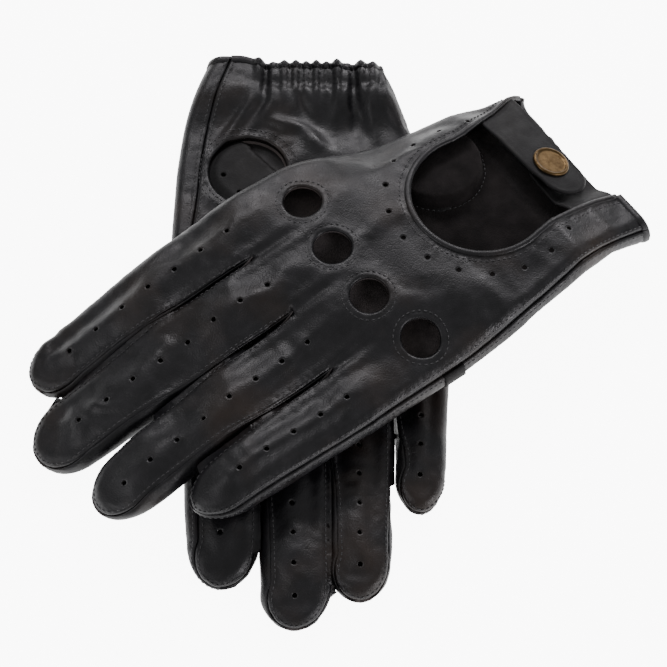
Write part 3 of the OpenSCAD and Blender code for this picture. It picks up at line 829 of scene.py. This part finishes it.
def fourchette(side, i, name):
    g = GLOVES[side]
    fork = [(float(line_x(g, i + 1, FORK)), FORK)]
    upper_is_palm = not g["back_up"]
    paths = [np.array(finger_edge(g, i, -1, p)[::-1] + fork + finger_edge(g, i + 1, 1, p))
             for p in (upper_is_palm, not upper_is_palm)]
    count = len(paths[0]) // 2
    owner = np.array([i] * (count + 1) + [i + 1] * count)
    top = skin(g, True, *paths[0].T, owner)
    low = skin(g, False, *paths[1].T, owner)
    out = np.zeros((len(owner), 2))
    apart = np.zeros(len(owner))
    for k, (x, y) in enumerate(paths[1]):
        n = owner[k]
        bend_y = g["fingers"][n][4] - TIP_ROUND
        v = np.array([x - float(centre(g, n, min(y, bend_y))), max(y - bend_y, 0)])
        out[k] = v / np.hypot(*v) if k != count else (0, 1)
        apart[k] = float(ramp(y, FORK + 30, g["fingers"][n][4] - 22)) if y > FORK else 0
    out = out @ np.array([[g["cos"], g["sin"]], [-g["sin"], g["cos"]]])
    rows = []
    for t in np.linspace(0, 1, 11):
        row = mix(top, low, t)
        arch = 4 * t * (1 - t)
        waver = np.array([0.5 * noise.noise(Vector((p[0] / 5, p[1] / 5, 3 + 2 * t))) for p in row])
        bulge = mix(-0.7, 0.22 * np.abs(top[:, 2] - low[:, 2]), apart)
        row[:, :2] += out * (arch * (bulge + waver) - 0.2)[:, None]
        row[:, 2] += 1.1 * arch * apart * (0.5 - t)
        rows.append(np.maximum(row, [-999, -999, 0]) * MM)
    mesh = strip_mesh(name, rows)
    piece = finished(name, mesh, [nappa, suede, edge], f"{side}_glove", [name.replace("_strip", "")])
    wall = piece.modifiers.new("thickness", "SOLIDIFY")
    wall.thickness = 0.7 * MM
    wall.offset = -1
    wall.material_offset = 1
    return piece


for side in GLOVES:
    for i, pair in enumerate(("index_middle", "middle_ring", "ring_little")):
        fourchette(side, i, f"{side}_fourchette_{pair}_strip")
print("six fourchettes made")

# %% [markdown]
# The edge of the keyhole is bound: a narrow strip is folded over the cut and stitched down, so it stands up as
# a round lip. A lip is a profile carried along the line of the edge, every point of it on the leather's surface.

# %% Bound and turned edges
def on_skin(side, palm, line, lift=0.0, owner=None):
    """Places in metres on a panel, lifted off its surface by some millimetres."""
    g = GLOVES[side]
    up = g["back_up"] != palm
    line = np.asarray(line, float)
    start, move = PANELS[side, palm]
    out = skin_normal(g, up, line[:, 0], line[:, 1], owner)
    return follow((skin(g, up, line[:, 0], line[:, 1], owner) + out * lift) * MM, start, move)


def dense(line, times):
    line = np.asarray(line, float)
    at = np.linspace(0, len(line) - 1, (len(line) - 1) * times + 1)
    return np.column_stack([np.interp(at, np.arange(len(line)), line[:, k]) for k in (0, 1)])


def close_strip(name, rows, material, body, nodes=(), closed=False):
    """A closed tube whose profile is one point of every row."""
    form = bmesh.new()
    loops = [[form.verts.new(p) for p in row] for row in rows]
    count = len(loops[0])
    for a, b in zip(loops, loops[1:] + loops[:1]):
        for k in range(count if closed else count - 1):
            n = (k + 1) % count
            form.faces.new((a[k], a[n], b[n], b[k]))
    if not closed:
        form.faces.new([loop[0] for loop in loops])
        form.faces.new([loop[-1] for loop in loops][::-1])
    bmesh.ops.recalc_face_normals(form, faces=form.faces)
    mesh = bpy.data.meshes.new(name)
    form.to_mesh(mesh)
    form.free()
    return finished(name, mesh, material, body, nodes)


LIP = [(-0.1, -1.3), (-0.75, -0.9), (-0.95, -0.2), (-0.6, 0.5), (0.1, 0.78), (0.9, 0.7), (1.5, 0.35), (1.7, -0.2),
       (1.7, -1.2)]
for side, g in GLOVES.items():
    base = dense(keyhole_line(), 4)
    kept = base[:, 1] >= -0.2
    rows = [on_skin(side, False, dense(keyhole_line(grow), 4)[kept], lift) for grow, lift in LIP]
    for row in rows:
        row[:, 2] = np.maximum(row[:, 2], 0.0)
    close_strip(f"{side}_keyhole_binding", rows, nappa, f"{side}_glove", [f"{side}_keyhole_facing"])
    rings = []
    for at in g["knuckles"]:
        rows = [on_skin(side, False, round_line(at, KNUCKLE_R + w, 48), h)
                for w, h in ((0.1, -0.95), (4.0, -0.95), (4.0, -1.5), (0.1, -1.5))]
        rings.append(close_strip(f"{side}_knuckle_facing_{len(rings) + 1}", rows, suede, f"{side}_glove",
                                 closed=True))
    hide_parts(f"{side}_knuckle_facings")
print("keyhole bindings and knuckle facings made")

# %% [markdown]
# The wrist edge is hemmed, and the elastic is sewn inside the palm a little above it. The hem is the leather
# turned round the edge, so its profile goes over the edge and back inside.

# %% Wrist hem and elastic
HEM = [(2.5, 0.12), (1.7, 0.42), (0.7, 0.5), (-0.2, 0.45), (-0.8, -0.1), (-0.6, -0.8), (0.3, -1.3), (2.4, -1.35),
       (2.5, -0.9)]
for side, g in GLOVES.items():
    low = float(centre(g, 3, 0)) - seam_reach(g, 3, -1, 0, 0, True, True)
    high = float(centre(g, 0, 0)) + seam_reach(g, 0, 1, 0, 0, True, True)
    xs = np.linspace(low, high, 220)
    rows = [on_skin(side, True, np.column_stack([xs, np.full(220, y)]), lift) for y, lift in HEM]
    for row in rows:
        row[:, 2] = np.maximum(row[:, 2], 0.0)
    close_strip(f"{side}_wrist_hem", rows, nappa, f"{side}_glove", [f"{side}_cuff_binding"])
    xs = np.linspace(low + 6, high - 6, 160)
    rows = [on_skin(side, True, np.column_stack([xs, np.full(160, y)]), -lift)
            for y, lift in ((7, 1.1), (13, 1.1), (13, 1.8), (7, 1.8))]
    close_strip(f"{side}_wrist_elastic_band", rows, elastic, f"{side}_glove", [f"{side}_wrist_elastic"])
    back_low = float(centre(g, 3, 0)) - seam_reach(g, 3, -1, 0, 0, True, False)
    back_high = float(centre(g, 0, 0)) + seam_reach(g, 0, 1, 0, 0, True, False)
    for part, x0, x1 in (("wing", back_low, -22.6), ("thumb_side", 43.2, back_high)):
        xs = np.linspace(x0, x1, 50)
        rows = [on_skin(side, False, np.column_stack([xs, np.full(50, y)]), lift) for y, lift in HEM]
        for row in rows:
            row[:, 2] = np.maximum(row[:, 2], 0.0)
        close_strip(f"{side}_{part}_hem", rows, nappa, f"{side}_glove")
print("wrist hems made")

# %% [markdown]
# The thumb is a flattened tube of matt leather, set into the palm's round arch and folded flat across the palm.
# Inside the arch it lies lower than the palm, and beyond the arch it rises over it. One edge of the tube shows as
# a crease across the arch. It turns about the middle of the arch, so its root is round.

# %% Thumbs
THUMB_FOLD = math.radians(30)
THUMB_REACH, THUMB_TIP_R, THUMB_ROOT_R = 55.0, 11.0, 16.2


def thumb_outline():
    root = [(THUMB_ROOT_R * math.sin(a), THUMB_ROOT_R * math.cos(a)) for a in np.linspace(1.15, 5.13, 40)]
    tip = [(THUMB_TIP_R * math.sin(a), THUMB_REACH + THUMB_TIP_R * math.cos(a)) for a in np.linspace(-1.5, 1.5, 26)]
    return root + tip


def thumb_place(g, u, v, w):
    """Thumb place (across, along, off the palm) to the common frame, in mm."""
    x = THUMB_AT[0] + u * math.cos(THUMB_FOLD) - v * math.sin(THUMB_FOLD)
    y = THUMB_AT[1] + u * math.sin(THUMB_FOLD) + v * math.cos(THUMB_FOLD)
    sx, sy, sz = settle(g, x, y)
    z = 22.1 - w if g["back_up"] else 9.6 + w
    return np.column_stack([*to_frame(g, x + sx, y + sy), z + sz])


def crease_u(v):
    return mix(-5.4, -10.6, ramp(v, -16, 16))


def thumb_sheet(points, distance, top):
    u, v = points[:, 0], points[:, 1]
    rise = ramp(v, 3, 24)
    middle = mix(-2.5, 3.1, rise)
    thick = mix(0.9, 2.6, rise)
    r = np.minimum(distance, 4.5) / 4.5
    dome = np.sqrt(np.clip(1 - (1 - r) ** 2, 0, 1))
    beyond = ramp(crease_u(v) - u, -0.3, 1.3) * (1 - rise)
    folds = np.array([0.35 * noise.noise(Vector((a / 9, b / 14, 3))) for a, b in points])
    if top:
        return middle - 1.1 * beyond + thick * dome * (1 - 0.7 * beyond) + 1.3 * (1 - rise) * (1 - beyond) * ramp(distance, 1.5, 4) + folds * r
    return middle - (thick + 1.9 * (1 - rise)) * dome


for side, g in GLOVES.items():
    holes = [((9 - v / 8, v), VENT_R) for v in np.arange(-3, THUMB_REACH - 8, 10.5)]
    outline = thumb_outline()
    upper = cut_panel(outline, [], holes, 1.4)
    lower = cut_panel(outline, [], [], 1.4)
    form = bmesh.new()
    for (verts, faces, distance), top in ((upper, True), (lower, False)):
        spots = thumb_place(g, verts[:, 0], verts[:, 1], thumb_sheet(verts, distance, top)) * MM
        made = [form.verts.new(p) for p in spots]
        for f in faces:
            form.faces.new([made[k] for k in f])
    bmesh.ops.remove_doubles(form, verts=form.verts, dist=0.00004)
    bmesh.ops.recalc_face_normals(form, faces=form.faces)
    mesh = bpy.data.meshes.new(f"{side}_thumb_leather")
    form.to_mesh(mesh)
    form.free()
    thumb = finished(f"{side}_thumb_leather", mesh, [matt_nappa, suede, edge], f"{side}_thumb", [f"{side}_thumb"])
    wall = thumb.modifiers.new("thickness", "SOLIDIFY")
    wall.thickness = 0.7 * MM
    wall.offset = -1
    wall.material_offset = 1
print("thumbs made")

# %% [markdown]
# Behind each thumb the arch is closed by a gusset, a shallow bowl of thin leather sewn under its edge. It has the
# rough flesh side out, towards the hand. The net of the arch is pushed down into the glove, steeply at the rim.

# %% Thumb gussets
GUSSET_R, GUSSET_DEEP = 19.2, {"left": 7.2, "right": 5.6}
for side, g in GLOVES.items():
    verts, faces, distance = cut_panel(round_line(THUMB_AT, GUSSET_R, 64), [], [], 1.6)
    bowl = skin(g, not g["back_up"], verts[:, 0], verts[:, 1])
    into = 1 if g["back_up"] else -1
    bowl[:, 2] += into * (0.95 + GUSSET_DEEP[side] * ramp(distance, 0.0, 1.6))
    if g["back_up"]:
        faces = [f[::-1] for f in faces]
    finished(f"{side}_thumb_gusset", net_mesh(f"{side}_thumb_gusset", bowl * MM, faces), suede, f"{side}_glove")
    print(side, "gusset from", round(float(bowl[:, 2].min()), 1), "to", round(float(bowl[:, 2].max()), 1), "mm high")

# %% [markdown]
# The wrist closure: a tapered strap reaches from the thumb side of the keyhole over a tab on the other side,
# and a press stud joins them. The strap is two layers of leather with turned edges, so it's thick and its rim
# is round. At its root it bends with the glove. These places are given in the wrist's own frame.

# %% Strap and stud tab
CUFF, TILT = 14.0, math.radians(18)


def wrist_place(g, x, y, depth):
    """Wrist place to the common frame; depth is measured into the glove from its back, in mm."""
    x, y, depth = (np.asarray(k, float) for k in (x, y, depth))
    if not g["back_up"]:
        return np.column_stack([*to_frame(g, x, y), depth])
    run, z = y - WRIST_Y, CUFF * math.cos(TILT) - depth
    local_y = run * math.cos(TILT) - z * math.sin(TILT) + WRIST_Y
    sx, sy, sz = settle(g, x, local_y)
    height = 22.1 + run * math.sin(TILT) + z * math.cos(TILT)
    return np.column_stack([*to_frame(g, x + sx, local_y + sy), height + sz])


SNAP_AT = (2.5, 17.3)
STRAP = ([(40.6, 8.4), (37.0, 20.5), (33.2, 31.8), (22.9, 30.1), (11.8, 29.3), (2, 28)]
         + [(-4.5 + 9.8 * math.cos(math.radians(a)), 16.7 + 9.8 * math.sin(math.radians(a)))
            for a in range(85, 273, 8)])
TAB = ([(-29, 3.5), (1, 3.5)] + [(1 + 9 * math.cos(math.radians(a)), 15 + 11.5 * math.sin(math.radians(a)))
                                for a in range(-75, 76, 15)] + [(-29, 26.5)])


def tab_depth(x):
    return mix(1.7, 5.8, ramp(x, -21, -12))


def layer(name, g, outline, depth, thick, swell, body, node):
    """A double layer of leather: round rim, slightly swollen, with a sewn groove near its rim."""
    form = bmesh.new()
    for top in (True, False):
        verts, faces, distance = cut_panel(outline, [], [], 1.1)
        r = np.minimum(distance, 1.2) / 1.2
        rim = np.sqrt(np.clip(1 - (1 - r) ** 2, 0, 1)) * thick / 2
        waver = np.array([0.25 * noise.noise(Vector((a / 7, b / 7, 4))) for a, b in verts])
        groove = 0.22 * np.exp(-(((distance - 2.4) / 0.5) ** 2))
        rise = rim + (swell * np.clip(distance / 8, 0, 1) + waver * r - groove if top else 0)
        spots = wrist_place(g, verts[:, 0], verts[:, 1], depth(verts[:, 0]) + thick / 2 + (-rise if top else rise))
        made = [form.verts.new(p * MM) for p in spots]
        for f in faces:
            form.faces.new([made[k] for k in f])
    bmesh.ops.remove_doubles(form, verts=form.verts, dist=0.00004)
    bmesh.ops.recalc_face_normals(form, faces=form.faces)
    mesh = bpy.data.meshes.new(name)
    form.to_mesh(mesh)
    form.free()
    return finished(name, mesh, matt_nappa, body, [node])


for side, g in GLOVES.items():
    strap = layer(f"{side}_strap_leather", g, STRAP, lambda x: 1.75 + 0 * x, 1.5, 0.35, None, f"{side}_strap")
    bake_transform(strap)
    layer(f"{side}_stud_tab_leather", g, TAB, tab_depth, 1.2, 0.0, f"{side}_glove", f"{side}_stud_tab")
print("straps and tabs made")

# %% [markdown]
# The press stud is turned metal, so each part is a profile spun round its axis: a flat cap with a raised,
# rounded rim on the strap, its socket beneath, and the stud with its eyelet on the tab. A full turn is merged,
# so each part is closed.

# %% Press stud
def turned(name, g, profile, depth, body, node):
    """Spins (radius, height) points in mm about the stud's axis; heights are measured out of the glove."""
    form = bmesh.new()
    line = [form.verts.new((r, 0, z)) for r, z in profile]
    edges = [form.edges.new((a, b)) for a, b in zip(line, line[1:])]
    bmesh.ops.spin(form, geom=line + edges, cent=(0, 0, 0), axis=(0, 0, 1), angle=2 * math.pi, steps=72,
                   use_merge=True)
    bmesh.ops.remove_doubles(form, verts=form.verts, dist=0.001)
    for v in form.verts:
        v.co = wrist_place(g, [SNAP_AT[0] + v.co.x], [SNAP_AT[1] + v.co.y], [depth - v.co.z])[0] * MM
    bmesh.ops.recalc_face_normals(form, faces=form.faces)
    mesh = bpy.data.meshes.new(name)
    form.to_mesh(mesh)
    form.free()
    return finished(name, mesh, brass, body, [node])


CAP = [(0, -1.0), (1.5, -1.0), (1.5, -0.1), (6.9, -0.1), (7.3, 0.1), (7.5, 0.55), (7.4, 1.0), (7.1, 1.35), (6.7, 1.5),
       (6.3, 1.42), (6.05, 1.2), (5.8, 1.08), (5.3, 1.05), (3.0, 1.12), (0, 1.15)]
SOCKET = [(2.1, -2.1), (2.1, -0.3), (0, -0.3), (0, -0.05), (4.6, -0.05), (5.0, -0.4), (5.0, -1.7), (4.6, -2.1),
          (2.1, -2.1)]
STUD = [(0, 0), (4.3, 0), (4.5, 0.2), (4.3, 0.5), (2.0, 0.55), (1.7, 1.1), (2.0, 1.7), (1.6, 2.1), (0, 2.1)]
EYELET = [(0, -0.6), (4.2, -0.6), (4.5, -0.3), (4.3, 0), (0, 0)]
for side, g in GLOVES.items():
    turned(f"{side}_cap", g, CAP, 1.7, f"{side}_strap", f"{side}_snap_cap")
    turned(f"{side}_socket", g, SOCKET, 3.1, f"{side}_strap", f"{side}_snap_socket")
    turned(f"{side}_stud", g, STUD, 5.7, f"{side}_glove", f"{side}_snap_stud")
    turned(f"{side}_eyelet", g, EYELET, 7.05, f"{side}_glove", f"{side}_snap_eyelet")
print("press studs made")

# %% [markdown]
# Stitching is what makes a glove read as sewn. Each stitch is a short thread that rises out of one needle hole
# and dips into the next, so it's modelled as a bent, tapered rod. The rows run beside every slit, round the
# keyhole and the knuckle holes, along the outer seams and, in pairs, round the thumb's arch.

# %% Stitches
STITCH_RINGS = [(-1.0, 0.12, -0.22), (-0.62, 0.18, 0.04), (0.0, 0.22, 0.12), (0.62, 0.18, 0.04), (1.0, 0.12, -0.22)]


def stitch_piece(name, spots, body, pitch):
    """spots are (place, direction, outward normal) in metres."""
    points, faces = [], []
    for place, along, out in spots:
        across = np.cross(out, along)
        first = len(points)
        for t, r, lift in STITCH_RINGS:
            middle = place + along * (t * pitch * 0.36 * MM) + out * (lift * MM)
            for k in range(6):
                a = math.pi * k / 3
                points.append(middle + (across * math.cos(a) + out * math.sin(a)) * (r * MM))
        for j in range(len(STITCH_RINGS) - 1):
            for k in range(6):
                n = (k + 1) % 6
                faces.append((first + 6 * j + k, first + 6 * j + n, first + 6 * j + 6 + n, first + 6 * j + 6 + k))
        faces.append(tuple(first + k for k in range(5, -1, -1)))
        faces.append(tuple(first + 24 + k for k in range(6)))
    return finished(name, net_mesh(name, points, faces), thread, body)


def beside(line, offset):
    """The line moved sideways: to its left for a positive offset."""
    line = np.asarray(line, float)
    d = np.gradient(line, axis=0)
    d /= np.maximum(np.hypot(*d.T), 1e-9)[:, None]
    return line + np.column_stack([-d[:, 1], d[:, 0]]) * offset


def sew(name, side, palm, lines, pitch=2.2, inner=False):
    """Rows of stitches on a panel along pattern lines."""
    piece = bpy.data.objects[f"{side}_{'palm' if palm else 'back'}_leather"]
    spots = []
    for line in lines:
        path = on_skin(side, palm, resample([tuple(p) for p in line], pitch, closed=False))
        for a, b in zip(path, path[1:]):
            middle = (a + b) / 2
            found, place, normal, _ = piece.closest_point_on_mesh(Vector(middle), distance=0.004)
            if not found:
                continue
            out = np.array(normal) * (-1 if inner else 1)
            place = np.array(place) + out * (LEATHER * MM if inner else 0)
            along = b - a - out * np.dot(b - a, out)
            if np.linalg.norm(along) > 1e-5:
                spots.append((place, along / np.linalg.norm(along), out))
    return stitch_piece(name, spots, f"{side}_glove", pitch)


def loop_line(at, r):
    ring = round_line(at, r, 60)
    return ring + ring[:1]


for side, g in GLOVES.items():
    for palm in (False, True):
        rows = []
        for i in range(3):
            slit = finger_edge(g, i, -1, palm)[::-1] + finger_edge(g, i + 1, 1, palm)
            rows.append(beside(slit, 1.9))
        outer = hand_edge(g, 0, 1, palm) + finger_edge(g, 0, 1, palm)
        rows.append(beside(outer, 1.7))
        outer = hand_edge(g, 3, -1, palm) + finger_edge(g, 3, -1, palm)
        rows.append(beside(outer, -1.7))
        if palm:
            rows += [loop_line(THUMB_AT, r) for r in (17.6, 19.8)]
        else:
            rows += [loop_line(at, KNUCKLE_R + 3.0) for at in g["knuckles"]]
            ring = np.array(keyhole_line(3.6))
            rows.append(ring[ring[:, 1] > 0.5])
        sew(f"{side}_{'palm' if palm else 'back'}_stitches", side, palm, rows)
    sew(f"{side}_inner_stitches", side, True, [loop_line(THUMB_AT, r) for r in (17.6, 19.8)], inner=True)
print("stitches made")

# %% [markdown]
# Behind each outer seam the two cut edges are turned in by a few millimetres, the seam allowance. A narrow strip of
# the flesh side lies there, under the edge of the back and under the edge of the palm, so no light shows through.

# %% Seam allowances
TURNED_IN = 2.2
for side, g in GLOVES.items():
    for i, sign, name in ((0, 1, "thumb_side"), (3, -1, "little_side")):
        rows = []
        for palm, offsets in ((False, (TURNED_IN, 0.2)), (True, (0.2, TURNED_IN))):
            seam = hand_edge(g, i, sign, palm) + finger_edge(g, i, sign, palm)
            for offset in offsets:
                row = on_skin(side, palm, beside(seam, sign * offset), -LEATHER - 0.15)
                row[:, 2] = np.maximum(row[:, 2], 0.0)
                rows.append(row)
        finished(f"{side}_{name}_allowance", strip_mesh(f"{side}_{name}_allowance", rows), suede, f"{side}_glove")
print("seam allowances made")

# %% [markdown]
# A small keeper crosses the outer seam beside the little finger, where the pair is tacked together for sale. It's
# a short folded strip, sewn down at both ends.

# %% Side keepers
for side, g in GLOVES.items():
    ys = np.linspace(95, 104, 10)
    reach = np.array([seam_reach(g, 3, -1, 0, y, True, True) for y in ys])
    mid = np.array([float(centre(g, 3, y)) for y in ys])
    rows = []
    for back, lift in ((7.5, 0.0), (7.3, 0.6), (5.0, 0.75), (2.5, 0.75), (0.3, 0.6), (0.1, -0.2), (4.0, -0.3)):
        rows.append(on_skin(side, True, np.column_stack([mid - reach + back, ys]), lift))
    close_strip(f"{side}_keeper", rows, matt_nappa, f"{side}_glove", [f"{side}_side_keeper"])
print("keepers made")

# %% [markdown]
# The studio: a white floor and a pale surround, one large soft light from above and behind, which draws long soft
# highlights on the leather, and a weaker one from the front left. The camera looks down at about sixty degrees.

# %% Floor, light and camera
floor_mesh = net_mesh("floor", [(-3, -3, -0.0003), (3, -3, -0.0003), (3, 3, -0.0003), (-3, 3, -0.0003)],
                      [(0, 1, 2, 3)])
paper, tree, shader = new_finish("white_paper", {"Base Color": linear("#f7f7f7"), "Roughness": 0.9, "IOR": 1.3,
                                                 "Emission Color": (1, 1, 1, 1)})
ray = add(tree, "ShaderNodeLightPath")
glow = add(tree, "ShaderNodeMapRange", inputs={"To Min": 1.7, "To Max": 9.0}, links={"Value": (ray, "Is Camera Ray")})
tree.links.new(glow.outputs["Result"], shader.inputs["Emission Strength"])
floor = finished("floor", floor_mesh, paper, None)

world = bpy.data.worlds.new("studio")
bpy.context.scene.world = world
world.use_nodes = True
world.node_tree.nodes["Background"].inputs["Color"].default_value = (1, 1, 1, 1)
world.node_tree.nodes["Background"].inputs["Strength"].default_value = 0.34


def soft_light(name, place, aim, size, power):
    light = bpy.data.lights.new(name, "AREA")
    light.shape = "RECTANGLE"
    light.size, light.size_y = size
    light.energy = power
    light.color = (1.0, 0.965, 1.0)
    lamp = bpy.data.objects.new(name, light)
    lamp.location = place
    lamp.rotation_euler = (Vector(aim) - Vector(place)).to_track_quat("-Z", "Y").to_euler()
    bpy.context.scene.collection.objects.link(lamp)
    return lamp


soft_light("back_right", (0.32, 0.88, 0.6), (0, 0, 0), (0.34, 0.2), 3.4)
soft_light("overhead_back", (-0.2, 0.85, 0.8), (0, 0, 0), (0.4, 0.2), 2.8)
soft_light("front_left", (-0.8, -0.3, 0.7), (0, 0, 0), (0.5, 0.5), 1.5)
soft_light("side_right", (0.85, -0.5, 0.4), (0, 0, 0), (0.3, 0.12), 3.5)

lens = bpy.data.cameras.new("camera")
lens.lens = 127.3
lens.sensor_width = 36
camera = bpy.data.objects.new("camera", lens)
camera.location = (-0.003, -0.4539, 0.7874)
aim = Vector((-0.003, -0.0039, 0.008))
camera.rotation_euler = (aim - camera.location).to_track_quat("-Z", "Y").to_euler()
bpy.context.scene.collection.objects.link(camera)
bpy.context.scene.camera = camera
print("camera at", [round(k, 3) for k in camera.location])
